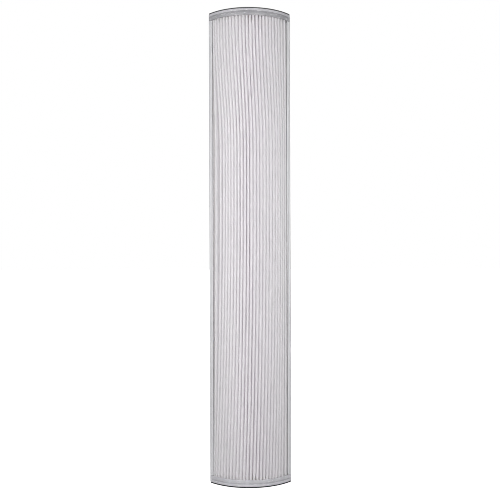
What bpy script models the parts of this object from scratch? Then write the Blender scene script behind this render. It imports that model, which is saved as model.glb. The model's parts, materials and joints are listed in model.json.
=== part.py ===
"""Curved pleated filter cartridge: a pleated sheet bonded into a four-piece plastic frame, in metres, +Z up.

Seen from above, the cartridge is a piece of a tube wall. Its convex front faces -Y and its concave back faces +Y.
Plan angles are measured at the tube's axis, from the middle of the front towards +X. The origin is the middle of
the bounding box on the bottom face, so the cartridge stands on z = 0.
"""

import math

import bmesh
import bpy
from mathutils import Vector

# Overall size
HEIGHT = 0.520
WIDTH = 0.090
FRONT_RADIUS = 0.062  # front face of the frame's rim
FRAME_DEPTH = 0.024  # front face to back face, along a radius
CORNER_RADIUS = 0.002  # the two front corners of the frame, in plan
CLEARANCE = 0.0003  # between pieces that are bonded or rest on each other

# Frame section: a raised rim runs round the outside, and the face inside it is recessed
RIM_WIDTH = 0.0029  # rim on a side rail, along the arc
LIP_HEIGHT = 0.0024  # rim on an end cap
FACE_RECESS = 0.0006
BORDER = 0.0050  # side rail's whole front face, along the arc
SKIRT_HEIGHT = 0.0046  # end cap's recessed face
CAP_PLATE = 0.0016
CAP_WALL = 0.0010
RAIL_WEB = 0.0016
RAIL_FLANGE = 0.0010
BACK_FLANGE_REACH = 0.0050

# Locating tabs that join each rail to the caps
TAB_THICKNESS = 0.0011
TAB_INNER_RADIUS = 0.0450
TAB_OUTER_RADIUS = 0.0560
TAB_LAP = 0.012  # length fused to the rail's web

# Pleated sheet
PLEATS = 24
SHEET_THICKNESS = 0.0005
TIP_RADIUS = 0.0601  # outside of the front folds
ROOT_RADIUS = 0.0398  # outside of the back folds
FRONT_FOLD = 0.00085  # radius of the front folds, to the middle of the sheet
BACK_FOLD = 0.00035
END_LEAF_OFFSET = 0.0032  # last leaf of the sheet, from the frame's side face
END_LEAF_TOP = 0.0580
FOLD_STEPS = 4

# Adhesive and seals
POTTING_THICKNESS = 0.0020
SIDE_BOND_THICKNESS = 0.0005
SIDE_BOND_INNER_RADIUS = 0.0430
SIDE_BOND_OUTER_RADIUS = 0.0570
END_GASKET_SPACE = 0.0012  # gasket and its clearance
END_GASKET_INSET = 0.0002
SIDE_GASKET_THICKNESS = 0.0007
SIDE_GASKET_MARGIN = 0.0010
THREADS = 5
THREAD_BEND_RADIUS = 0.0387
THREAD_RADIUS = 0.0006

ARC_STEPS = 32  # along the whole front of the frame
CORNER_STEPS = 4
SHARP_ANGLE = math.radians(35)  # edges bent more than this are shaded sharp
WELD = 1e-6
BEYOND = 0.001  # how far a cutter runs past the face it opens

# Worked out from the dimensions above
BACK_RADIUS = FRONT_RADIUS - FRAME_DEPTH
CORNER_CENTRE = FRONT_RADIUS - CORNER_RADIUS
HALF_ANGLE = math.asin((WIDTH / 2 - CORNER_RADIUS) / CORNER_CENTRE) + math.asin(CORNER_RADIUS / CORNER_CENTRE)
AXIS_Y = (FRONT_RADIUS + BACK_RADIUS * math.cos(HALF_ANGLE)) / 2
FACE_RADIUS = FRONT_RADIUS - FACE_RECESS
RIM_ANGLE = HALF_ANGLE - RIM_WIDTH / FRONT_RADIUS
OPENING_ANGLE = HALF_ANGLE - BORDER / FRONT_RADIUS
BACK_OPENING_ANGLE = HALF_ANGLE - BACK_FLANGE_REACH / BACK_RADIUS
PITCH = 2 * OPENING_ANGLE / PLEATS
CAP_HEIGHT = LIP_HEIGHT + SKIRT_HEIGHT
RAIL_FOOT = END_GASKET_SPACE + CAP_HEIGHT + CLEARANCE
TRAY_FLOOR = END_GASKET_SPACE + CAP_PLATE
POTTING_FOOT = TRAY_FLOOR + CLEARANCE
SHEET_FOOT = POTTING_FOOT + POTTING_THICKNESS + CLEARANCE

COLOURS = {
    "sheet": ((0.86, 0.85, 0.86), 0.95),
    "frame": ((0.62, 0.63, 0.66), 0.35),
    "adhesive": ((0.80, 0.78, 0.70), 0.30),
    "foam": ((0.05, 0.05, 0.06), 0.90),
}


def clear_scene():
    for obj in list(bpy.data.objects):
        bpy.data.objects.remove(obj, do_unlink=True)


def new_collection(name):
    collection = bpy.data.collections.new(name)
    bpy.context.scene.collection.children.link(collection)
    return collection


def new_material(name):
    """Plain material from the table of colours."""
    colour, roughness = COLOURS[name]
    material = bpy.data.materials.new(name)
    material.use_nodes = True
    shader = material.node_tree.nodes["Principled BSDF"]
    shader.inputs["Base Color"].default_value = (*colour, 1.0)
    shader.inputs["Roughness"].default_value = roughness
    shader.inputs["Metallic"].default_value = 0.0
    return material


def direction(angle):
    """Unit vector in plan, pointing from the axis at this plan angle."""
    return Vector((math.sin(angle), -math.cos(angle)))


def plan_point(radius, angle):
    return Vector((0, AXIS_Y)) + radius * direction(angle)


def end_angle(radius, inset):
    """Where a circle round the axis meets the frame's side face moved inwards by inset."""
    return HALF_ANGLE - math.asin(inset / radius)


def arc(radius, start, end):
    """Points round the axis, at the spacing of the frame's front."""
    steps = max(1, round(abs(end - start) / (2 * HALF_ANGLE) * ARC_STEPS))
    return [plan_point(radius, start + (end - start) * step / steps) for step in range(steps + 1)]


def front_corner(inset):
    """Rounded front corner on the +X side, from the front face to the side face."""
    radius = max(CORNER_RADIUS - inset, WELD)
    centre_radius = FRONT_RADIUS - inset - radius
    start = end_angle(centre_radius, inset + radius)
    centre = plan_point(centre_radius, start)
    sweep = HALF_ANGLE + math.pi / 2 - start
    return [centre + radius * direction(start + sweep * step / CORNER_STEPS) for step in range(CORNER_STEPS + 1)]


def mirrored(points):
    """The same outline on the -X side, with its order reversed."""
    return [Vector((-point.x, point.y)) for point in reversed(points)]


def on_side(side, points):
    """An outline of the +X side, on the side that is asked for: 1 for +X and -1 for -X."""
    return points if side > 0 else mirrored(points)


def frame_outline(inset):
    """The frame's whole plan outline, moved inwards by inset."""
    corner = front_corner(inset)
    start = end_angle(FRONT_RADIUS - max(inset, CORNER_RADIUS), max(inset, CORNER_RADIUS))
    front = arc(FRONT_RADIUS - inset, -start, start)[1:-1]
    end = end_angle(BACK_RADIUS + inset, inset)
    back = arc(BACK_RADIUS + inset, end, -end)
    return front + corner + back + mirrored(corner)


def ring_outline(inner_radius, outer_radius, start, end):
    """A piece of a ring between two plan angles."""
    return arc(outer_radius, start, end) + arc(inner_radius, end, start)


def strip_outline(inner_radius, outer_radius, near, far):
    """A strip parallel to the +X side face, between two insets from it."""
    corners = ((outer_radius, near), (inner_radius, near), (inner_radius, far), (outer_radius, far))
    return [plan_point(radius, end_angle(radius, inset)) for radius, inset in corners]


def rail_outline():
    """Section of the +X rail: a channel that is open towards the sheet, with the raised rim on its front."""
    front = arc(FACE_RADIUS, OPENING_ANGLE, RIM_ANGLE) + [plan_point(FRONT_RADIUS, RIM_ANGLE)]
    back = arc(BACK_RADIUS, HALF_ANGLE, BACK_OPENING_ANGLE)
    inner_back = BACK_RADIUS + RAIL_FLANGE
    inner_front = FACE_RADIUS - RAIL_FLANGE
    inside = arc(inner_back, BACK_OPENING_ANGLE, end_angle(inner_back, RAIL_WEB))
    inside += arc(inner_front, end_angle(inner_front, RAIL_WEB), OPENING_ANGLE)
    return front + front_corner(0) + back + inside


def fold(tip_radius, bend, angle, outward):
    """Middle surface of the sheet round one fold, from its -X side to its +X side."""
    centre = plan_point(tip_radius - outward * (bend + SHEET_THICKNESS / 2), angle)
    points = []
    for step in range(FOLD_STEPS + 1):
        turn = math.pi * (step / FOLD_STEPS - 0.5)
        facing = angle + turn if outward > 0 else angle + math.pi - turn
        points.append(centre + bend * direction(facing))
    return points


def sheet_outline():
    """Section of the pleated sheet, with a flat leaf at each end that is bonded to a rail."""
    last_leaf = [plan_point(END_LEAF_TOP, end_angle(END_LEAF_TOP, END_LEAF_OFFSET))]
    middle = mirrored(last_leaf) + fold(ROOT_RADIUS, BACK_FOLD, -OPENING_ANGLE, -1)
    for pleat in range(PLEATS):
        root = -OPENING_ANGLE + pleat * PITCH
        middle += fold(TIP_RADIUS, FRONT_FOLD, root + PITCH / 2, 1)
        middle += fold(ROOT_RADIUS, BACK_FOLD, root + PITCH, -1)
    middle += last_leaf
    return thickened(middle, SHEET_THICKNESS)


def thickened(line, thickness):
    """Closed outline round an open line."""
    sides = []
    for index, point in enumerate(line):
        before = (point - line[max(index - 1, 0)]).normalized()
        after = (line[min(index + 1, len(line) - 1)] - point).normalized()
        along = (before + after).normalized()
        across = Vector((-along.y, along.x))
        square = max(along.dot(after), along.dot(before))
        sides.append(across * thickness / 2 / square)
    left = [point + side for point, side in zip(line, sides)]
    right = [point - side for point, side in zip(line, sides)]
    return left + right[::-1]


def mesh_from(curve_object):
    """Turns a curve into a mesh object of the same name, with its caps welded on."""
    name = curve_object.name
    bpy.context.view_layer.update()
    graph = bpy.context.evaluated_depsgraph_get()
    mesh = bpy.data.meshes.new_from_object(curve_object.evaluated_get(graph))
    welder = bmesh.new()
    welder.from_mesh(mesh)
    bmesh.ops.remove_doubles(welder, verts=welder.verts, dist=WELD)
    bmesh.ops.recalc_face_normals(welder, faces=welder.faces)
    welder.to_mesh(mesh)
    welder.free()
    place = curve_object.matrix_world.copy()
    collection = curve_object.users_collection[0]
    bpy.data.objects.remove(curve_object)
    obj = bpy.data.objects.new(name, mesh)
    obj.matrix_world = place
    mesh.name = name
    collection.objects.link(obj)
    return obj


def prism(name, outline, low, high, collection, material=None):
    """A flat outline between two heights."""
    curve = bpy.data.curves.new(name, "CURVE")
    curve.dimensions = "2D"
    curve.fill_mode = "BOTH"
    curve.extrude = abs(high - low) / 2
    spline = curve.splines.new("POLY")
    spline.points.add(len(outline) - 1)
    for place, point in zip(spline.points, outline):
        place.co = (point.x, point.y, 0, 1)
    spline.use_cyclic_u = True
    obj = bpy.data.objects.new(name, curve)
    obj.location.z = (low + high) / 2
    collection.objects.link(obj)
    obj = mesh_from(obj)
    if material:
        obj.data.materials.append(material)
    return obj


def smooth(obj):
    obj.data.shade_smooth()
    obj.data.set_sharp_from_angle(angle=SHARP_ANGLE)


def combine(obj, other, operation):
    """Boolean of obj with a helper, which is then hidden."""
    modifier = obj.modifiers.new(other.name, "BOOLEAN")
    modifier.operation = operation
    modifier.object = other
    other.hide_render = True
    other.display_type = "WIRE"


def build_end_cap(name, outer_face, inward, parts, helpers, material):
    """A tray that takes the ends of the sheet and the rails. Heights are measured inwards from its outer face."""

    def at(depth):
        return outer_face + inward * depth

    cap = prism(name, frame_outline(0), at(0), at(CAP_HEIGHT), parts, material)
    recess = ring_outline(FACE_RADIUS, FRONT_RADIUS + BEYOND, -RIM_ANGLE, RIM_ANGLE)
    combine(cap, prism(name + "_recess", recess, at(LIP_HEIGHT), at(CAP_HEIGHT + BEYOND), helpers), "DIFFERENCE")
    front = FACE_RADIUS - CAP_WALL
    back = BACK_RADIUS + CAP_WALL
    tray = arc(front, -end_angle(front, CAP_WALL), end_angle(front, CAP_WALL))
    tray += arc(back, end_angle(back, CAP_WALL), -end_angle(back, CAP_WALL))
    combine(cap, prism(name + "_tray", tray, at(CAP_PLATE), at(CAP_HEIGHT + BEYOND), helpers), "DIFFERENCE")
    smooth(cap)


def build_rail(name, side, parts, helpers, material):
    """A rail with a locating tab at each end, which goes into the cap's tray."""
    rail = prism(name, on_side(side, rail_outline()), RAIL_FOOT, HEIGHT - RAIL_FOOT, parts, material)
    near = CAP_WALL + CLEARANCE
    tab = on_side(side, strip_outline(TAB_INNER_RADIUS, TAB_OUTER_RADIUS, near, near + TAB_THICKNESS))
    foot = TRAY_FLOOR + CLEARANCE
    lap = RAIL_FOOT + TAB_LAP
    combine(rail, prism(name + "_tab_low", tab, foot, lap, helpers), "UNION")
    combine(rail, prism(name + "_tab_high", tab, HEIGHT - lap, HEIGHT - foot, helpers), "UNION")
    smooth(rail)


def build_side_bond(name, side, parts, material):
    """Adhesive strip between a rail's web and the last leaf of the sheet, between the rail's tabs."""
    near = RAIL_WEB + CLEARANCE
    strip = strip_outline(SIDE_BOND_INNER_RADIUS, SIDE_BOND_OUTER_RADIUS, near, near + SIDE_BOND_THICKNESS)
    foot = RAIL_FOOT + TAB_LAP + CLEARANCE
    prism(name, on_side(side, strip), foot, HEIGHT - foot, parts, material)


def build_side_gasket(name, side, parts, material):
    """Foam strip on the back of a rail."""
    outer = BACK_RADIUS - CLEARANCE
    start = BACK_OPENING_ANGLE + SIDE_GASKET_MARGIN / BACK_RADIUS
    end = HALF_ANGLE - SIDE_GASKET_MARGIN / BACK_RADIUS
    strip = ring_outline(outer - SIDE_GASKET_THICKNESS, outer, start, end)
    foot = END_GASKET_SPACE + LIP_HEIGHT
    prism(name, on_side(side, strip), foot, HEIGHT - foot, parts, material)


def build_potting(name, low, high, parts, material):
    """Layer of adhesive in a cap's tray, between the rails' tabs."""
    front = FACE_RADIUS - CAP_WALL - CLEARANCE
    back = BACK_RADIUS + CAP_WALL + CLEARANCE
    ends = CAP_WALL + TAB_THICKNESS + 2 * CLEARANCE + CLEARANCE
    outline = arc(front, -end_angle(front, ends), end_angle(front, ends))
    outline += arc(back, end_angle(back, ends), -end_angle(back, ends))
    prism(name, outline, low, high, parts, material)


def build_spacer_thread(name, height, parts, material):
    """Round adhesive thread across the back folds."""
    reach = BACK_OPENING_ANGLE - 2 * THREAD_RADIUS / BACK_RADIUS
    curve = bpy.data.curves.new(name, "CURVE")
    curve.dimensions = "3D"
    curve.bevel_depth = THREAD_RADIUS
    curve.bevel_resolution = 1
    curve.use_fill_caps = True
    line = arc(THREAD_BEND_RADIUS, -reach, reach)
    spline = curve.splines.new("POLY")
    spline.points.add(len(line) - 1)
    for place, point in zip(spline.points, line):
        place.co = (point.x, point.y, 0, 1)
    obj = bpy.data.objects.new(name, curve)
    obj.location.z = height
    parts.objects.link(obj)
    obj = mesh_from(obj)
    obj.data.materials.append(material)
    smooth(obj)


def main():
    clear_scene()
    parts = new_collection("curved_filter_cartridge")
    helpers = new_collection("cutters")
    sheet = new_material("sheet")
    frame = new_material("frame")
    adhesive = new_material("adhesive")
    foam = new_material("foam")

    smooth(prism("pleated_sheet", sheet_outline(), SHEET_FOOT, HEIGHT - SHEET_FOOT, parts, sheet))

    build_end_cap("end_cap_bottom", END_GASKET_SPACE, 1, parts, helpers, frame)
    build_end_cap("end_cap_top", HEIGHT - END_GASKET_SPACE, -1, parts, helpers, frame)
    for name, side in (("left", -1), ("right", 1)):
        build_rail("side_rail_" + name, side, parts, helpers, frame)
        build_side_bond("side_bond_" + name, side, parts, adhesive)
        build_side_gasket("side_gasket_" + name, side, parts, foam)

    potting_top = POTTING_FOOT + POTTING_THICKNESS
    build_potting("potting_bottom", POTTING_FOOT, potting_top, parts, adhesive)
    build_potting("potting_top", HEIGHT - potting_top, HEIGHT - POTTING_FOOT, parts, adhesive)
    for index in range(THREADS):
        build_spacer_thread(f"spacer_thread_{index + 1}", HEIGHT * (index + 1) / (THREADS + 1), parts, adhesive)

    gasket_thickness = END_GASKET_SPACE - CLEARANCE
    gasket = frame_outline(END_GASKET_INSET)
    prism("end_gasket_bottom", gasket, 0, gasket_thickness, parts, foam)
    prism("end_gasket_top", gasket, HEIGHT - gasket_thickness, HEIGHT, parts, foam)


main()
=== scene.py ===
"""Looks of a curved pleated filter cartridge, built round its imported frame.

Metres, +Z up, convex front towards -Y. Plan angles are measured at the axis of the curve, from the middle of
the front towards +X. A depth is measured inwards from a cap's outer face.
"""

import json
import math

import bmesh
import bpy
import numpy as np
from mathutils import Matrix, Vector


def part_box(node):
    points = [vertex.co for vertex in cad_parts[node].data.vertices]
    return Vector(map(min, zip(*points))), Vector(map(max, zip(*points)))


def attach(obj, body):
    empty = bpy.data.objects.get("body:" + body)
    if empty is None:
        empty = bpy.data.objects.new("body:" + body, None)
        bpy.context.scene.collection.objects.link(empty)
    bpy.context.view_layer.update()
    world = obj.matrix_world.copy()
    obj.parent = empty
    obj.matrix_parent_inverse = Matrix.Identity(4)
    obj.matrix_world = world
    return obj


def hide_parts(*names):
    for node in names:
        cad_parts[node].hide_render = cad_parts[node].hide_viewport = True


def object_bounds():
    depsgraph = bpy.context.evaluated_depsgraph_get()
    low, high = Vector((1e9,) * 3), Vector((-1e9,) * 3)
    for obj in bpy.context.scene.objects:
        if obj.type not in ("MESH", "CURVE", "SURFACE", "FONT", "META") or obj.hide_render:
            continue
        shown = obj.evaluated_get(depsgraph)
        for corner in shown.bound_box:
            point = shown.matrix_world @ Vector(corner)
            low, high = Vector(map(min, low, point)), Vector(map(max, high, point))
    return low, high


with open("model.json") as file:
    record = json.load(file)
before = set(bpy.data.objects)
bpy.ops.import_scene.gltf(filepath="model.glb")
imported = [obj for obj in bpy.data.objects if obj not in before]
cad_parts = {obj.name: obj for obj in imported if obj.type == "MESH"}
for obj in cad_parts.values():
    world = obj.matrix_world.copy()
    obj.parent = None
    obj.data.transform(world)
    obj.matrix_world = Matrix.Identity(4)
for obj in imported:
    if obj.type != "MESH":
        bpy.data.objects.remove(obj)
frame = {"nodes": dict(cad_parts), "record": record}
CAD_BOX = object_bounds()
MOUNTS = {mount["name"]: mount for mount in frame["record"]["mounts"]}
BODY = "root"

# Frame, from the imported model
FRONT_RADIUS = 0.062
FRAME_DEPTH = 0.024
BACK_RADIUS = FRONT_RADIUS - FRAME_DEPTH
CAP_LOW, CAP_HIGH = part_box("end_cap_bottom")
AXIS_Y = CAP_LOW.y + FRONT_RADIUS
HALF_ANGLE = math.acos(MOUNTS["right_side_face"]["axis"][0])
HEIGHT = CAD_BOX[1].z
CAP_FACE = CAP_LOW.z
CAP_HEIGHT = CAP_HIGH.z - CAP_LOW.z
SHEET_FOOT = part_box("pleated_sheet")[0].z
TAB_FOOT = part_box("side_rail_left")[0].z
GAP = 0.0003  # seam between a rail and a cap

# Frame section
LIP_HEIGHT = 0.0024
FACE_RECESS = 0.0006
CORNER_RADIUS = 0.002
HEEL_RADIUS = 0.0006
WALL = 0.0010
CAP_PLATE = 0.0016
EDGE = 0.00025  # rounding of moulded edges
GROOVE = 0.0004  # line under the lip, below the recessed face
SWELL = 0.00035  # how far a cap's recessed face bulges
RIM_WIDTH = 0.0029
BORDER = 0.0050
RAIL_WEB = 0.0016
RAIL_GROOVE = 0.0004  # width and depth of the line beside a rail's rim
BACK_FLANGE_REACH = 0.0050
TAB_THICKNESS = 0.0011
TAB_RADII = (0.0450, 0.0560)
TAB_LAP = 0.012
RIM_ANGLE = HALF_ANGLE - RIM_WIDTH / FRONT_RADIUS
OPENING_ANGLE = HALF_ANGLE - BORDER / FRONT_RADIUS
BACK_OPENING_ANGLE = HALF_ANGLE - BACK_FLANGE_REACH / BACK_RADIUS
RIM_BLEND = 0.0005 / FRONT_RADIUS

# Pleated sheet
PLEATS = 24
PITCH = 2 * OPENING_ANGLE / PLEATS
SHEET_THICKNESS = 0.0005
TIP_RADIUS = 0.0601
ROOT_RADIUS = 0.0398
FRONT_FOLD = 0.00085
BACK_FOLD = 0.00035
END_LEAF_TOP = 0.0580
END_LEAF_OFFSET = 0.0032
SHEET_ROWS = 91
TIP_STEPS = 8
ROOT_STEPS = 6
LEAF_STEPS = 3
SUNK = 0.0012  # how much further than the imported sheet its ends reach

FAN = 1.05  # how much wider the folds spread at their tips than straight out
# The folds' front tips are potted a little towards -X and lean towards +X between the caps
SET_FOOT = -0.0030
SET_TOP = -0.0018
SET_EDGE = 0.0045  # how near the rails it fades
LEAN = 0.0052  # about the most that a fold far from both rails leans
LEAN_EXTRA = 0.9  # what the left folds lean more, as a share
LEAN_SPAN = 0.020  # how far from the left rail that reaches
LEAN_RISE = 0.0050  # how near the left rail the lean fades
LEAN_FALL = 0.0100  # and how near the right one
LEAN_FROM_FOOT = 0.31  # height over which the lean builds up from the bottom cap
LEAN_FROM_TOP = 0.15
# How far the folds wander, about, where they hang free
TIP_SIDEWAYS = 0.00007
TIP_OUTWARDS = 0.00005
TIP_BEHIND = 0.00012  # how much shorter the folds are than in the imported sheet
ROOT_SIDEWAYS = 0.000035
LEAF_BOW = 0.000025
FREE_FROM = 0.030  # how far from its ends a fold hangs free

# Adhesive
POTTING_GAP = 0.00005  # between it and the tray
POTTING_RISE = 0.0005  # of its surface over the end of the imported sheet
CREEP = 0.0009  # up the tray's walls
CREEP_REACH = 0.0007
RIPPLE = 0.00018
BOND_RADII = (0.0432, 0.0568)
BOND_SWELL = 0.0012
THREAD_RADIUS = 0.00052
THREAD_SWELL = 0.00016  # where it lies on a fold
THREAD_UNEVEN = 0.00008
THREAD_LIFT = 0.00035  # of its middle from the tops of the back folds
THREAD_SINK = 0.00030  # how far it sinks between folds
THREAD_WAVER = 0.00005  # nearer to the sheet and further from it
THREAD_DRIFT = 0.0006  # up and down
THREAD_MARGIN = 0.0012  # from the rails' back flanges

# Foam
END_FOAM_INSET = 0.0002
END_FOAM_GAP = 0.00004
END_FOAM_UNEVEN = 0.00007
END_FOAM_ROUNDING = 0.0001
SIDE_FOAM_MARGIN = 0.0010
SIDE_FOAM_GAP = 0.0001
SIDE_FOAM_FACE = 0.0010  # its outer face, from the rail's back
SIDE_FOAM_ROUNDING = 0.0002
SIDE_FOAM_UNEVEN = 0.00005

FRONT_STEPS = 88
BLEND_STEPS = 4
CORNER_STEPS = 6
BACK_STEPS = 60
SOFT_BEND = math.radians(25)  # a smaller one isn't a corner
MOST_OF_SIDE = 0.45  # how much of a side a rounded corner may take


# Plan geometry


def direction(angle):
    """Unit vectors in plan, pointing from the axis at these angles."""
    return np.stack([np.sin(angle), -np.cos(angle)], axis=-1)


def plan(radius, angle):
    return np.array([0, AXIS_Y]) + np.asarray(radius)[..., None] * direction(angle)


def end_angle(radius, inset):
    """Where a circle round the axis meets the frame's side face moved inwards by inset."""
    return HALF_ANGLE - math.asin(inset / radius)


def smoothstep(value):
    value = np.clip(value, 0, 1)
    return value * value * (3 - 2 * value)


def mirrored(points):
    """The same points on the -X side, in the opposite order."""
    return (points * np.array([-1, 1]))[::-1]


def on_side(side, points):
    return points if side > 0 else mirrored(points)


def front_angles(limit):
    """Angles along the front, close together where the rims meet the recessed face."""
    inner, outer = RIM_ANGLE - RIM_BLEND, RIM_ANGLE + RIM_BLEND
    right = np.concatenate(
        [np.linspace(inner, outer, BLEND_STEPS + 1)[:-1], np.linspace(outer, limit, BLEND_STEPS)]
    )
    middle = np.linspace(-inner, inner, FRONT_STEPS + 1)[1:-1]
    return np.concatenate([-right[::-1], middle, right])


def outline(front, side, back, corner, heel, notch=0.0):
    """Points round the frame in plan, with its faces moved inwards by front, side and back.

    corner and heel are the radii of its front and back corners. notch sinks the front between the two rims.
    """
    corner_radius = FRONT_RADIUS - front - corner
    corner_angle = end_angle(corner_radius, side + corner)
    angles = front_angles(corner_angle)
    sunk = notch * smoothstep((RIM_ANGLE + RIM_BLEND - np.abs(angles)) / (2 * RIM_BLEND))
    front_points = plan(FRONT_RADIUS - front - sunk, angles)
    turn = np.linspace(corner_angle, HALF_ANGLE + math.pi / 2, CORNER_STEPS + 1)[1:]
    corner_points = plan(corner_radius, corner_angle) + corner * direction(turn)
    heel_radius = BACK_RADIUS + back + heel
    heel_angle = end_angle(heel_radius, side + heel)
    turn = np.linspace(HALF_ANGLE + math.pi / 2, heel_angle + math.pi, CORNER_STEPS + 1)
    heel_points = plan(heel_radius, heel_angle) + heel * direction(turn)
    back_points = plan(BACK_RADIUS + back, np.linspace(heel_angle, -heel_angle, BACK_STEPS + 1)[1:-1])
    right = np.concatenate([corner_points, heel_points])
    return np.concatenate([front_points, right, back_points, mirrored(right)])


def rounded(points, radius, steps=4):
    """A closed plan outline with each of its sharp corners rounded."""
    count = len(points)
    made = []
    for index in range(count):
        before, here, after = points[index - 1], points[index], points[(index + 1) % count]
        to_before, to_after = before - here, after - here
        length_before, length_after = np.linalg.norm(to_before), np.linalg.norm(to_after)
        to_before, to_after = to_before / length_before, to_after / length_after
        bend = math.pi - math.acos(np.clip(to_before @ to_after, -1, 1))
        if bend < SOFT_BEND:
            made.append(here)
            continue
        room = MOST_OF_SIDE * min(length_before, length_after)
        cut = min(radius * math.tan(bend / 2), room)
        start, end = here + cut * to_before, here + cut * to_after
        for share in np.linspace(0, 1, steps + 1):
            made.append((1 - share) ** 2 * start + 2 * share * (1 - share) * here + share**2 * end)
    return np.array(made)


# Mesh building


def add_object(name, mesh, material):
    obj = bpy.data.objects.new(name, mesh)
    bpy.context.scene.collection.objects.link(obj)
    mesh.materials.append(material)
    return obj


def finish_mesh(mesh, sharp=35):
    """Faces turned outwards and shaded smooth except at sharp edges."""
    work = bmesh.new()
    work.from_mesh(mesh)
    bmesh.ops.recalc_face_normals(work, faces=work.faces)
    work.to_mesh(mesh)
    work.free()
    mesh.shade_smooth()
    mesh.set_sharp_from_angle(angle=math.radians(sharp))
    return mesh


def quads(rows, columns, wrap):
    """Corner indices of the quads of a grid, whose columns may run round and meet."""
    row = np.arange(rows - 1)[:, None] * columns
    column = np.arange(columns if wrap else columns - 1)[None, :]
    after = (column + 1) % columns
    below, above = row, row + columns
    return np.stack([below + column, below + after, above + after, above + column], -1).reshape(-1, 4)


def loft(name, loops, material, sharp=35):
    """A closed solid through loops that have the same number of points."""
    loops = np.array(loops)
    rows, columns = loops.shape[:2]
    faces = quads(rows, columns, True).tolist()
    faces.append(list(range(columns))[::-1])
    faces.append(list(range((rows - 1) * columns, rows * columns)))
    mesh = bpy.data.meshes.new(name)
    mesh.from_pydata(loops.reshape(-1, 3).tolist(), [], faces)
    return add_object(name, finish_mesh(mesh, sharp), material)


def at_height(points, height):
    return np.column_stack([points, np.full(len(points), height)])


def prism(name, points, low, high, material, sharp=35):
    return loft(name, [at_height(points, low), at_height(points, high)], material, sharp)


def thick_sheet(name, front, back, material, sharp=60):
    """A closed solid between two grids of points that have the same shape."""
    rows, columns = front.shape[:2]
    count = rows * columns
    faces = quads(rows, columns, False)
    around = [*range(columns)]
    around += [row * columns + columns - 1 for row in range(1, rows)]
    around += [(rows - 1) * columns + column for column in range(columns - 2, -1, -1)]
    around += [row * columns for row in range(rows - 2, 0, -1)]
    around = np.array(around)
    following = np.roll(around, -1)
    rim = np.stack([around, around + count, following + count, following], -1)
    every = np.concatenate([faces, faces[:, ::-1] + count, rim])
    mesh = bpy.data.meshes.new(name)
    points = np.concatenate([front.reshape(-1, 3), back.reshape(-1, 3)])
    mesh.from_pydata(points.tolist(), [], every.tolist())
    return add_object(name, finish_mesh(mesh, sharp), material)


def tube(name, centres, radii, material, steps=12):
    """A round string along these points, with domed ends."""
    centres = np.array(centres)
    along = np.gradient(centres, axis=0)
    along /= np.linalg.norm(along, axis=1)[:, None]
    up = np.array([0, 0, 1.0])
    loops = []
    turns = np.linspace(0, 2 * math.pi, steps, endpoint=False)

    def ring(centre, axis, radius):
        side = np.cross(axis, up)
        side /= np.linalg.norm(side)
        lift = np.cross(side, axis)
        return centre + radius * (np.cos(turns)[:, None] * side + np.sin(turns)[:, None] * lift)

    domes = np.radians([80, 55, 28])
    for turn in domes:
        centre = centres[0] - along[0] * radii[0] * math.sin(turn)
        loops.append(ring(centre, along[0], radii[0] * math.cos(turn)))
    for centre, axis, radius in zip(centres, along, radii):
        loops.append(ring(centre, axis, radius))
    for turn in domes[::-1]:
        centre = centres[-1] + along[-1] * radii[-1] * math.sin(turn)
        loops.append(ring(centre, along[-1], radii[-1] * math.cos(turn)))
    return loft(name, loops, material, 60)


def wander(seed, count, places, wavelengths):
    """Smooth random curves over these places, about 1 at most."""
    random = np.random.default_rng(seed)
    total = np.zeros((count, len(places)))
    for wavelength in wavelengths:
        weight = random.normal(0, 0.6, (count, 1))
        stretch = random.uniform(0.8, 1.25, (count, 1))
        phase = random.uniform(0, 2 * math.pi, (count, 1))
        total += weight * np.sin(2 * math.pi * places / (wavelength * stretch) + phase)
    return total / math.sqrt(len(wavelengths))


# Materials


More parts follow.
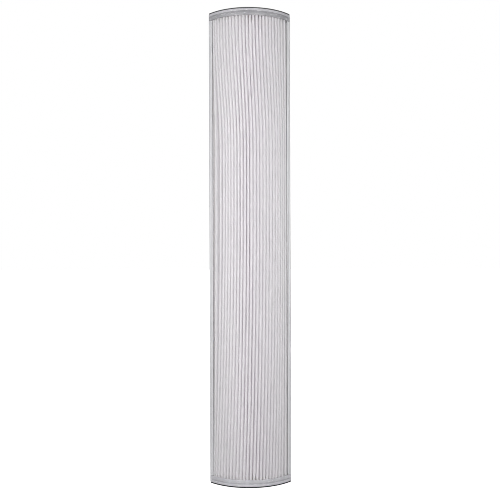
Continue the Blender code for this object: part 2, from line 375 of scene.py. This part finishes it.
class Shader:
    """A new node material, with short calls for adding nodes and links."""

    def __init__(self, name):
        self.material = bpy.data.materials.new(name)
        self.material.use_nodes = True
        self.tree = self.material.node_tree
        self.tree.nodes.clear()
        self.coordinates = self.add("ShaderNodeTexCoord").outputs["Object"]

    def add(self, kind, inputs=None, **settings):
        node = self.tree.nodes.new(kind)
        for name, value in settings.items():
            setattr(node, name, value)
        for name, value in (inputs or {}).items():
            if isinstance(value, bpy.types.NodeSocket):
                self.tree.links.new(value, node.inputs[name])
            else:
                node.inputs[name].default_value = value
        return node

    def calculate(self, operation, *values):
        return self.add("ShaderNodeMath", dict(enumerate(values)), operation=operation).outputs[0]

    def stretched(self, scale):
        """Object coordinates multiplied by scale on each axis."""
        return self.add("ShaderNodeMapping", {"Vector": self.coordinates, "Scale": scale}).outputs[0]

    def noise(self, scale, detail=4.0, roughness=0.55, stretch=(1, 1, 1), distortion=0.0):
        inputs = {"Vector": self.stretched(stretch), "Scale": scale, "Detail": detail}
        inputs.update({"Roughness": roughness, "Distortion": distortion})
        return self.add("ShaderNodeTexNoise", inputs).outputs["Fac"]

    def ramp(self, factor, stops):
        """Colour ramp from (place, colour) pairs. A plain number is a grey."""
        node = self.add("ShaderNodeValToRGB", {"Fac": factor})
        points = node.color_ramp.elements
        while len(points) < len(stops):
            points.new(0.5)
        for point, (place, colour) in zip(points, stops):
            point.position = place
            point.color = (*colour, 1) if isinstance(colour, tuple) else (colour, colour, colour, 1)
        return node.outputs["Color"]

    def blend(self, factor, first, second, kind="MIX"):
        node = self.add("ShaderNodeMix", data_type="RGBA", blend_type=kind)
        for socket, value in ((node.inputs[0], factor), (node.inputs[6], first), (node.inputs[7], second)):
            if isinstance(value, bpy.types.NodeSocket):
                self.tree.links.new(value, socket)
            else:
                socket.default_value = (*value, 1) if isinstance(value, tuple) else value
        return node.outputs[2]

    def bump(self, height, strength, distance, normal=None):
        inputs = {"Height": height, "Strength": strength, "Distance": distance}
        if normal:
            inputs["Normal"] = normal
        return self.add("ShaderNodeBump", inputs).outputs["Normal"]

    def finish(self, surface):
        self.add("ShaderNodeOutputMaterial", {"Surface": surface})
        return self.material


def sheet_material():
    """White nonwoven filter sheet: cloudy, fibrous, and a little light comes through it."""
    shader = Shader("nonwoven_sheet")
    clouds = shader.noise(90, 5, 0.6, (1, 1, 0.35))
    streaks = shader.noise(700, 3, 0.6, (1, 1, 0.02))
    colour = shader.ramp(clouds, [(0.3, (0.983, 0.977, 0.983)), (0.7, (0.988, 0.983, 0.988))])
    colour = shader.blend(0.10, colour, shader.ramp(streaks, [(0.3, 0.975), (0.7, 0.99)]))
    fibres = shader.noise(2600, 4, 0.7, (1, 1, 0.4), 1.2)
    cross = shader.noise(2100, 4, 0.7, (0.4, 0.4, 1), 1.2)
    normal = shader.bump(fibres, 0.25, 0.00012)
    normal = shader.bump(cross, 0.2, 0.00012, normal)
    inputs = {"Base Color": colour, "Roughness": 0.95, "Normal": normal}
    inputs.update({"Specular IOR Level": 0.15, "Sheen Weight": 0.15})
    cloth = shader.add("ShaderNodeBsdfPrincipled", inputs)
    through = shader.add("ShaderNodeBsdfTranslucent", {"Color": colour, "Normal": normal})
    mix = shader.add("ShaderNodeMixShader", {0: 0.55, 1: cloth.outputs[0], 2: through.outputs[0]})
    return shader.finish(mix.outputs[0])


def cap_painted_shade(shader, low, high):
    """Painted shade on the bottom and top caps, each given as (at the lip, at the thin wall): the top cap is
    painted darker than the bottom one, and the groove and recessed wall below each lip darker than the lip.
    """
    height = shader.add("ShaderNodeSeparateXYZ", {0: shader.coordinates}).outputs["Z"]
    from_middle = shader.calculate("ABSOLUTE", shader.calculate("SUBTRACT", height, HEIGHT / 2))
    depth = shader.calculate("SUBTRACT", HEIGHT / 2 - CAP_FACE, from_middle)
    wall = shader.calculate("MULTIPLY", depth, 1 / CAP_HEIGHT)
    lip = LIP_HEIGHT / CAP_HEIGHT
    painted_shades = (shader.ramp(wall, [(lip - 0.03, thick), (lip + 0.03, thin)]) for thick, thin in (low, high))
    # Painted shade: the top cap takes the darker pair.
    upper = shader.ramp(height, [(0.2, 0.0), (0.4, 1.0)])
    return shader.blend(upper, *painted_shades)


def plastic_material(name, body, dark, clear, grain, painted_shades=None):
    """Pale moulded plastic that light enters a little, with painted shade that greys it where it is seen
    edge-on.

    Its painted glints, sparse whitish streaks, run along the piece, as grain stretches them.
    """
    shader = Shader(name)
    flow = shader.noise(120, 4, 0.55, (1, 1, 0.25))
    facing = shader.add("ShaderNodeLayerWeight", {"Blend": 0.35}).outputs["Facing"]
    colour = shader.blend(shader.ramp(flow, [(0.35, 0.0), (0.7, 0.22)]), body, dark)
    # Painted shade on the caps, multiplied into the colour.
    if painted_shades:
        colour = shader.blend(1.0, colour, cap_painted_shade(shader, *painted_shades), "MULTIPLY")
    # Painted glints: sparse whitish streaks blended into the colour.
    painted_glints = shader.ramp(shader.noise(190, 3, 0.6, grain, 0.6), [(0.57, 0.0), (0.66, 0.6)])
    colour = shader.blend(painted_glints, colour, (0.93, 0.93, 0.94))
    # Painted shade: blended towards the dark colour where the surface is seen edge-on.
    colour = shader.blend(shader.ramp(facing, [(0.25, 0.0), (1.0, 0.9)]), colour, dark)
    fine = shader.noise(1500, 3, 0.5)
    roughness = shader.ramp(shader.noise(300, 3, 0.5), [(0.3, 0.26), (0.7, 0.40)])
    inputs = {"Base Color": colour, "Roughness": roughness, "Normal": shader.bump(fine, 0.08, 0.00005)}
    inputs.update({"Subsurface Weight": clear, "Subsurface Radius": (0.003, 0.003, 0.003), "IOR": 1.49})
    return shader.finish(shader.add("ShaderNodeBsdfPrincipled", inputs).outputs[0])


def foam_material(name, cell, dust):
    """Dark closed-cell foam with fine pores on its cut faces, painted darker inside them as shade, and grey
    dust on it in places.
    """
    shader = Shader(name)
    cells = shader.add("ShaderNodeTexVoronoi", {"Vector": shader.stretched((1, 1, 1)), "Scale": 2600.0})
    # Painted shade: darker in the pores.
    colour = shader.ramp(cells.outputs["Distance"], [(0.05, 0.2 * cell), (0.5, cell)])
    colour = shader.blend(shader.ramp(shader.noise(250), [(0.4, 0.0), (0.7, 0.35)]), colour, dust)
    normal = shader.bump(cells.outputs["Distance"], 0.6, 0.0002)
    inputs = {"Base Color": colour, "Roughness": 0.85, "Normal": normal}
    return shader.finish(shader.add("ShaderNodeBsdfPrincipled", inputs).outputs[0])


def adhesive_material():
    """Set hot-melt adhesive: milky and smooth, with a soft shine."""
    shader = Shader("hot_melt")
    flow = shader.noise(260, 3, 0.5)
    colour = shader.ramp(flow, [(0.3, (0.84, 0.83, 0.79)), (0.7, (0.90, 0.89, 0.86))])
    normal = shader.bump(shader.noise(420, 2, 0.4), 0.2, 0.0002)
    inputs = {"Base Color": colour, "Roughness": 0.22, "IOR": 1.48, "Normal": normal}
    inputs.update({"Subsurface Weight": 0.6, "Subsurface Radius": (0.002, 0.0018, 0.0014)})
    return shader.finish(shader.add("ShaderNodeBsdfPrincipled", inputs).outputs[0])


# The object's pieces


def lean_of_folds(heights):
    """How far each fold's tip leans towards +X at each height, as folds x heights."""
    rest = -OPENING_ANGLE + (np.arange(PLEATS) + 0.5) * PITCH
    from_left = (rest + OPENING_ANGLE) * TIP_RADIUS
    from_right = (OPENING_ANGLE - rest) * TIP_RADIUS
    most = LEAN * np.tanh(from_left / LEAN_RISE) * np.tanh(from_right / LEAN_FALL)
    most *= 1 + LEAN_EXTRA * np.exp(-from_left / LEAN_SPAN)
    above, below = heights - heights[0], heights[-1] - heights
    shape = 1 - (1 - np.clip(above / LEAN_FROM_FOOT, 0, 1)) ** 2
    shape *= smoothstep(below / LEAN_FROM_TOP)
    potted = SET_FOOT + (SET_TOP - SET_FOOT) * above / (above + below)
    fade = np.tanh(from_left / SET_EDGE) * np.tanh(from_right / SET_EDGE)
    return most[:, None] * shape + fade[:, None] * potted


def leaf(start, end, bulge):
    """Points between two ends of folds, bowed sideways by bulge, at every height."""
    share = np.linspace(0, 1, LEAF_STEPS + 2)[1:-1][None, :, None]
    along = end - start
    across = np.stack([-along[:, 1], along[:, 0]], -1)
    across /= np.linalg.norm(across, axis=1)[:, None]
    straight = start[:, None] * (1 - share) + end[:, None] * share
    return straight + (4 * share * (1 - share)) * bulge[:, None, None] * across[:, None]


def sheet_lines(heights):
    """Middle line of the sheet in plan at each height, as rows x points x 2."""
    half = (heights[-1] - heights[0]) / 2
    level = (heights - heights[0]) / half - 1
    loose = smoothstep((1 - np.abs(level)) * half / FREE_FROM)
    rest = -OPENING_ANGLE + (np.arange(PLEATS) + 0.5) * PITCH
    sideways = lean_of_folds(heights) + TIP_SIDEWAYS * loose * wander(3, PLEATS, heights, (0.31, 0.14))
    outwards = TIP_OUTWARDS * loose * wander(5, PLEATS, heights, (0.4, 0.17)) - TIP_BEHIND
    length = TIP_RADIUS - ROOT_RADIUS
    tilt = np.arcsin(sideways / length)
    facing = FAN * rest[:, None] + tilt
    reach = length - FRONT_FOLD - SHEET_THICKNESS / 2 + outwards
    tips = plan(ROOT_RADIUS, rest)[:, None] + reach[..., None] * direction(facing)
    roots_at = -OPENING_ANGLE + np.arange(PLEATS + 1) * PITCH
    shaky = ROOT_SIDEWAYS * loose * wander(9, PLEATS + 1, heights, (0.3, 0.13)) / ROOT_RADIUS
    roots = plan(ROOT_RADIUS + BACK_FOLD + SHEET_THICKNESS / 2, roots_at[:, None] + shaky)
    root_tilt = (np.vstack([0 * tilt[:1], tilt]) + np.vstack([tilt, 0 * tilt[:1]])) / 2
    root_facing = roots_at[:, None] + root_tilt
    bulges = LEAF_BOW * loose * wander(11, 2 * PLEATS + 2, heights, (0.3, 0.14))
    turn = np.linspace(-math.pi / 2, math.pi / 2, TIP_STEPS + 1)
    tip_arcs = tips[:, :, None] + FRONT_FOLD * direction(facing[..., None] + turn)
    turn = np.linspace(-math.pi / 2, math.pi / 2, ROOT_STEPS + 1)
    root_arcs = roots[:, :, None] + BACK_FOLD * direction(root_facing[..., None] + math.pi - turn)
    bonded = plan(END_LEAF_TOP, end_angle(END_LEAF_TOP, END_LEAF_OFFSET))
    right_end = np.tile(bonded, (len(heights), 1))
    left_end = right_end * np.array([-1, 1])
    line = [left_end[:, None], leaf(left_end, root_arcs[0][:, 0], 0 * heights), root_arcs[0]]
    for pleat in range(PLEATS):
        tip, root = tip_arcs[pleat], root_arcs[pleat + 1]
        line.append(leaf(root_arcs[pleat][:, -1], tip[:, 0], bulges[2 * pleat]))
        line.append(tip)
        line.append(leaf(tip[:, -1], root[:, 0], bulges[2 * pleat + 1]))
        line.append(root)
    line += [leaf(root_arcs[-1][:, -1], right_end, 0 * heights), right_end[:, None]]
    return np.concatenate(line, axis=1)


def build_sheet(material):
    foot = SHEET_FOOT - SUNK
    heights = np.linspace(foot, HEIGHT - foot, SHEET_ROWS)
    lines = sheet_lines(heights)
    along = np.gradient(lines, axis=1)
    along /= np.linalg.norm(along, axis=2)[..., None]
    across = np.stack([-along[..., 1], along[..., 0]], -1) * SHEET_THICKNESS / 2
    level = np.broadcast_to(heights[:, None, None], (*lines.shape[:2], 1))
    front = np.concatenate([lines - across, level], axis=2)
    back = np.concatenate([lines + across, level], axis=2)
    piece = thick_sheet("filter_sheet", front, back, material)
    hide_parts("pleated_sheet")
    return piece


def cap_levels():
    """Section of a cap from the edge of its outer face to its tray floor: (depth, outline) pairs."""
    corner = CORNER_RADIUS
    levels = []
    for turn in np.linspace(0, math.pi / 2, 4):
        inset = EDGE * (1 - math.sin(turn))
        ring = outline(inset, inset, inset, corner - inset, HEEL_RADIUS)
        levels.append((EDGE * (1 - math.cos(turn)), ring))
    deep = FACE_RECESS + GROOVE
    rounding = [(-0.0005, 0), (-0.0003, 0.00005), (-0.0001, 0.0002), (0, 0.0004)]
    for below_lip, notch in [*rounding, (0.00005, deep), (0.0006, deep)]:
        levels.append((LIP_HEIGHT + below_lip, outline(0, 0, 0, corner, HEEL_RADIUS, notch)))
    start, end = LIP_HEIGHT + 0.0007, CAP_HEIGHT - EDGE
    for share in np.linspace(0, 1, 9):
        notch = FACE_RECESS - SWELL * math.sin(math.pi * share**0.6)
        levels.append((start + (end - start) * share, outline(0, 0, 0, corner, HEEL_RADIUS, notch)))
    for turn in np.linspace(0, math.pi / 2, 4)[1:]:
        inset = EDGE * (1 - math.cos(turn))
        ring = outline(inset, inset, inset, corner - inset, HEEL_RADIUS, FACE_RECESS)
        levels.append((CAP_HEIGHT - EDGE * (1 - math.sin(turn)), ring))
    for turn in np.linspace(0, math.pi / 2, 4):
        inset = WALL - EDGE * (1 - math.sin(turn))
        ring = outline(FACE_RECESS + inset, inset, inset, HEEL_RADIUS, HEEL_RADIUS)
        levels.append((CAP_HEIGHT - EDGE * (1 - math.cos(turn)), ring))
    levels.append((CAP_PLATE, outline(FACE_RECESS + WALL, WALL, WALL, HEEL_RADIUS, HEEL_RADIUS)))
    return levels


def from_end(top, depth):
    """Height of a point this far inside the top or bottom cap's outer face."""
    return HEIGHT - CAP_FACE - depth if top else CAP_FACE + depth


def build_cap(name, top, material):
    loops = [at_height(ring, from_end(top, depth)) for depth, ring in cap_levels()]
    piece = loft(name + "_shell", loops, material)
    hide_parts(name)
    return piece


def rail_section():
    """Section of the +X rail: a channel open towards the sheet, with the raised rim on its front."""
    face = FRONT_RADIUS - FACE_RECESS
    inner_back, inner_front = BACK_RADIUS + WALL, face - WALL
    corner_radius = FRONT_RADIUS - CORNER_RADIUS
    corner_angle = end_angle(corner_radius, CORNER_RADIUS)
    turn = np.linspace(corner_angle, HALF_ANGLE + math.pi / 2, 2 * CORNER_STEPS + 1)
    runs = [
        plan(face, np.linspace(OPENING_ANGLE, RIM_ANGLE - RAIL_GROOVE / face, 4)),
        plan(face - RAIL_GROOVE, np.linspace(RIM_ANGLE - RAIL_GROOVE / face, RIM_ANGLE, 2)),
        plan(FRONT_RADIUS, np.linspace(RIM_ANGLE, corner_angle, 3)[:-1]),
        plan(corner_radius, corner_angle) + CORNER_RADIUS * direction(turn),
        plan(BACK_RADIUS, np.linspace(HALF_ANGLE, BACK_OPENING_ANGLE, 6)),
        plan(inner_back, np.linspace(BACK_OPENING_ANGLE, end_angle(inner_back, RAIL_WEB), 5)),
        plan(inner_front, np.linspace(end_angle(inner_front, RAIL_WEB), OPENING_ANGLE, 5)),
    ]
    return rounded(np.concatenate(runs), EDGE)


def tab_section():
    near = WALL + GAP
    corners = ((TAB_RADII[1], near), (TAB_RADII[0], near), (TAB_RADII[0], near + TAB_THICKNESS))
    corners += ((TAB_RADII[1], near + TAB_THICKNESS),)
    return np.array([plan(radius, end_angle(radius, inset)) for radius, inset in corners])


def build_rail(name, side, material):
    foot = CAP_FACE + CAP_HEIGHT + GAP
    rail = prism(name + "_channel", on_side(side, rail_section()), foot, HEIGHT - foot, material)
    lap = foot + TAB_LAP
    for low, high in ((TAB_FOOT, lap), (HEIGHT - lap, HEIGHT - TAB_FOOT)):
        tab = prism("tab", on_side(side, tab_section()), low, high, material)
        union = rail.modifiers.new("tab", "BOOLEAN")
        union.operation = "UNION"
        union.object = tab
        graph = bpy.context.evaluated_depsgraph_get()
        joined = bpy.data.meshes.new_from_object(rail.evaluated_get(graph))
        rail.modifiers.clear()
        rail.data = joined
        bpy.data.objects.remove(tab)
    softened = rail.modifiers.new("edges", "BEVEL")
    softened.width = EDGE / 2
    softened.segments = 2
    softened.limit_method = "ANGLE"
    softened.angle_limit = math.radians(60)
    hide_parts(name)
    return rail


def build_end_gasket(name, top, material):
    """Foam sheet on a cap's outer face, with a hand-cut edge."""
    edge = outline(END_FOAM_INSET, END_FOAM_INSET, END_FOAM_INSET, CORNER_RADIUS, HEEL_RADIUS)
    length = np.concatenate([[0], np.cumsum(np.linalg.norm(np.diff(edge, axis=0), axis=1))])
    shift = END_FOAM_UNEVEN * wander(21 + top, 1, length, (0.031, 0.012, 0.005))[0]
    outwards = edge - edge.mean(axis=0)
    outwards /= np.linalg.norm(outwards, axis=1)[:, None]
    edge = edge + shift[:, None] * outwards
    thin = CAP_FACE - END_FOAM_GAP
    inner = edge - END_FOAM_ROUNDING * outwards
    levels = ((0, inner), (END_FOAM_ROUNDING, edge), (thin - END_FOAM_ROUNDING, edge), (thin, inner))
    loops = [at_height(ring, HEIGHT - level if top else level) for level, ring in levels]
    piece = loft(name + "_foam", loops, material, 30)
    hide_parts(name)
    return piece


def build_side_gasket(name, side, material):
    """Foam strip on the back of a rail."""
    low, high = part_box(name)
    margin = SIDE_FOAM_MARGIN / BACK_RADIUS
    angles = np.linspace(BACK_OPENING_ANGLE + margin, HALF_ANGLE - margin, 6)
    near = plan(BACK_RADIUS - SIDE_FOAM_GAP, angles)
    far = plan(BACK_RADIUS - SIDE_FOAM_FACE, angles[::-1])
    section = on_side(side, rounded(np.concatenate([near, far]), SIDE_FOAM_ROUNDING))
    heights = np.linspace(low.z, high.z, 80)
    shift = SIDE_FOAM_UNEVEN * wander(31 + side, 2, heights, (0.09, 0.035))
    loops = []
    for height, (across, out) in zip(heights, shift.T):
        loops.append(at_height(section + np.array([across, out]), height))
    piece = loft(name + "_foam", loops, material, 50)
    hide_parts(name)
    return piece


def build_potting(name, top, material):
    """Set adhesive in a cap's tray. It creeps up the walls and wets the sheet."""
    front = FRONT_RADIUS - FACE_RECESS - WALL - POTTING_GAP
    back = BACK_RADIUS + WALL + POTTING_GAP
    radii = np.linspace(back, front, 24)
    share = np.linspace(-1, 1, 161)
    ends = np.array([end_angle(radius, WALL + POTTING_GAP) for radius in radii])
    angles = share[:, None] * ends[None, :]
    points = plan(np.broadcast_to(radii, angles.shape), angles)
    edge = np.minimum(radii - back, front - radii)[None, :]
    side = (1 - np.abs(share))[:, None] * ends[None, :] * radii
    creep = CREEP * np.exp(-np.minimum(edge, side) / CREEP_REACH)
    ripple = RIPPLE * wander(41 + top, len(radii), share * 0.09, (0.017, 0.0072)).T
    level = SHEET_FOOT + POTTING_RISE + creep + ripple
    floor = np.full(angles.shape, CAP_FACE + CAP_PLATE + POTTING_GAP)
    heights = [HEIGHT - values if top else values for values in (level, floor)]
    surfaces = [np.concatenate([points, height[..., None]], axis=2) for height in heights]
    piece = thick_sheet(name + "_adhesive", *surfaces, material)
    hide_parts(name)
    return piece


def build_side_bond(name, side, material):
    """Adhesive bead that fills the space between a rail's web and the sheet's last leaf."""
    low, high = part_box(name)
    heights = np.linspace(low.z, high.z, 90)
    radii = np.linspace(*BOND_RADII, 9)
    swell = BOND_SWELL * wander(51 + side, 2, heights, (0.11, 0.043))
    grids = []
    for inset in (RAIL_WEB + 0.00002, END_LEAF_OFFSET - SHEET_THICKNESS / 2):
        rows = []
        for height, (lower, upper) in zip(heights, swell.T):
            spread = np.linspace(radii[0] + lower * 0.5, radii[-1] + upper * 0.5, len(radii))
            points = np.array([plan(radius, end_angle(radius, inset)) for radius in spread])
            rows.append(at_height(points * np.array([side, 1]), height))
        grids.append(np.array(rows))
    piece = thick_sheet(name + "_adhesive", *grids, material)
    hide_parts(name)
    return piece


def build_thread(name, seed, material):
    """Adhesive string laid over the back folds. It sinks between them and is fatter on each."""
    low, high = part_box(name)
    reach = math.atan2(high.x, AXIS_Y - (low.y + high.y) / 2)
    reach = min(reach, BACK_OPENING_ANGLE - THREAD_MARGIN / BACK_RADIUS)
    angles = np.linspace(-reach, reach, 260)
    on_fold = 0.5 + 0.5 * np.cos(2 * math.pi * (angles + OPENING_ANGLE) / PITCH)
    shape = wander(seed, 3, angles * BACK_RADIUS, (0.023, 0.009))
    radii = THREAD_RADIUS + THREAD_SWELL * on_fold + THREAD_UNEVEN * shape[0]
    distance = ROOT_RADIUS - THREAD_LIFT + THREAD_SINK * (1 - on_fold) + THREAD_WAVER * shape[1]
    middle = (low.z + high.z) / 2 + THREAD_DRIFT * shape[2]
    centres = np.column_stack([plan(distance, angles), middle])
    piece = tube(name + "_bead", centres, radii, material)
    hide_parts(name)
    return piece


def build_object():
    sheet = sheet_material()
    # Painted shade for the caps, (lip, wall) for the bottom and then the top one: the top cap is darker, and
    # each wall is darker than its lip.
    painted_shades = ((1.0, 0.94), (0.90, 0.62))
    cap = plastic_material("cap_plastic", (0.74, 0.735, 0.765), (0.27, 0.27, 0.29), 0.15, (1, 1, 5), painted_shades)
    # Painted light: the rails' copy of the plastic is lighter than the caps'.
    rail = plastic_material("rail_plastic", (0.83, 0.835, 0.845), (0.52, 0.53, 0.54), 0.35, (3, 3, 0.25))
    foam = foam_material("dark_foam", 0.030, (0.045, 0.044, 0.05))
    # Painted light: the top gasket's copy of the foam is lighter than the bottom one's.
    top_foam_painted_light = foam_material("top_foam_painted_light", 0.12, (0.17, 0.168, 0.175))
    adhesive = adhesive_material()
    made = [(build_sheet(sheet), "sheet")]
    for where, top in (("bottom", False), ("top", True)):
        made.append((build_cap("end_cap_" + where, top, cap), "frame"))
        made.append((build_potting("potting_" + where, top, adhesive), "adhesive"))
        made.append((build_end_gasket("end_gasket_" + where, top, top_foam_painted_light if top else foam), "foam"))
    for where, side in (("left", -1), ("right", 1)):
        made.append((build_rail("side_rail_" + where, side, rail), "frame"))
        made.append((build_side_bond("side_bond_" + where, side, adhesive), "adhesive"))
        made.append((build_side_gasket("side_gasket_" + where, side, foam), "foam"))
    threads = sorted(name for name in frame["nodes"] if name.startswith("spacer_thread"))
    for index, name in enumerate(threads):
        made.append((build_thread(name, 61 + index, adhesive), "adhesive"))
    for piece, slot in made:
        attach(piece, BODY)


# The stage

# Camera
VIEW_AZIMUTH = math.radians(-1.7)
VIEW_DISTANCE = 0.681  # from the middle of the front
VIEW_HEIGHT = 0.2417
VIEW_ROLL = math.radians(-0.195)
LENS = 45.4
SENSOR = 36.0
LIFT = 0.0289  # vertical shift of the lens
SLIDE = -0.0014  # sideways shift of the lens

# Lights: name, place, diameter, watts, colour, and the name of the one piece lit, or None for everything
LIGHTS = (
    ("key", (-0.27, -0.58, 0.37), 0.25, 1.8, (1.0, 0.99, 1.0), None),
    ("front", (0, -0.64, 0.37), 0.25, 0.55, (1.0, 1.0, 1.0), None),
    ("fill", (0.27, -0.58, 0.37), 0.25, 1.05, (1.0, 1.0, 1.0), None),
    ("rear", (0.2, 1.2, 0.7), 0.9, 11.0, (1.0, 1.0, 1.0), None),
    ("through", (0.2, 1.2, 0.7), 0.9, 6.0, (1.0, 1.0, 1.0), "filter_sheet"),
)
LIGHT_TARGET = (0, 0, 0.30)


def build_camera():
    data = bpy.data.cameras.new("camera")
    data.sensor_width = SENSOR
    data.lens = LENS
    data.shift_x = SLIDE
    data.shift_y = LIFT
    data.clip_start = 0.01
    camera = bpy.data.objects.new("camera", data)
    bpy.context.scene.collection.objects.link(camera)
    front = AXIS_Y - FRONT_RADIUS
    place = Vector((math.sin(VIEW_AZIMUTH), -math.cos(VIEW_AZIMUTH), 0)) * VIEW_DISTANCE
    turned = Matrix.Rotation(VIEW_AZIMUTH, 4, "Z") @ Matrix.Rotation(math.pi / 2, 4, "X")
    turned = turned @ Matrix.Rotation(VIEW_ROLL, 4, "Z")
    camera.matrix_world = Matrix.Translation(place + Vector((0, front, VIEW_HEIGHT))) @ turned
    bpy.context.scene.camera = camera


def area_light(name, place, size, power, colour, only):
    """A round soft light, which lights one piece only if that is named."""
    data = bpy.data.lights.new(name, "AREA")
    data.shape = "DISK"
    data.size = size
    data.energy = power
    data.color = colour
    light = bpy.data.objects.new(name, data)
    light.location = place
    light.rotation_euler = (Vector(LIGHT_TARGET) - Vector(place)).to_track_quat("-Z", "Y").to_euler()
    light.visible_camera = False
    bpy.context.scene.collection.objects.link(light)
    if only:
        receivers = bpy.data.collections.new(name + "_receivers")
        receivers.objects.link(bpy.data.objects[only])
        light.light_linking.receiver_collection = receivers


def build_world():
    """White to the camera, and a soft grey studio to everything else."""
    world = bpy.data.worlds.new("studio")
    world.use_nodes = True
    nodes, links = world.node_tree.nodes, world.node_tree.links
    nodes.clear()
    seen = nodes.new("ShaderNodeLightPath")
    backdrop = nodes.new("ShaderNodeBackground")
    backdrop.inputs["Color"].default_value = (1, 1, 1, 1)
    ambient = nodes.new("ShaderNodeBackground")
    ambient.inputs["Color"].default_value = (0.97, 0.98, 1.0, 1)
    ambient.inputs["Strength"].default_value = 0.22
    mix = nodes.new("ShaderNodeMixShader")
    links.new(seen.outputs["Is Camera Ray"], mix.inputs[0])
    links.new(ambient.outputs[0], mix.inputs[1])
    links.new(backdrop.outputs[0], mix.inputs[2])
    links.new(mix.outputs[0], nodes.new("ShaderNodeOutputWorld").inputs[0])
    bpy.context.scene.world = world


def build_floor():
    shader = Shader("floor")
    seen = shader.add("ShaderNodeLightPath").outputs["Is Camera Ray"]
    grain = shader.ramp(shader.noise(3, 2), [(0.3, 0.50), (0.7, 0.52)])
    matte = shader.add("ShaderNodeBsdfDiffuse", {"Color": shader.blend(seen, grain, (0.93, 0.93, 0.93))})
    away = shader.add("ShaderNodeVectorMath", {0: shader.coordinates}, operation="LENGTH").outputs["Value"]
    bright = shader.ramp(away, [(0.3, 0.78), (0.9, 1.0)])
    glow = shader.add("ShaderNodeEmission", {"Color": bright, "Strength": 1.0})
    both = shader.add("ShaderNodeAddShader", {0: matte.outputs[0], 1: glow.outputs[0]})
    mix = shader.add("ShaderNodeMixShader", {0: seen, 1: matte.outputs[0], 2: both.outputs[0]})
    material = shader.finish(mix.outputs[0])
    mesh = bpy.data.meshes.new("floor")
    work = bmesh.new()
    bmesh.ops.create_circle(work, cap_ends=True, segments=96, radius=30)
    work.to_mesh(mesh)
    work.free()
    floor = add_object("floor", mesh, material)
    floor.location.z = -0.0002


def build_stage():
    for light in LIGHTS:
        area_light(*light)
    scene = bpy.context.scene
    scene.view_settings.view_transform = "Standard"
    scene.cycles.filter_width = 0.9
    scene.cycles.max_bounces = 40
    scene.cycles.diffuse_bounces = 32
    scene.cycles.transmission_bounces = 32


build_object()
build_world()
build_floor()
build_stage()
build_camera()
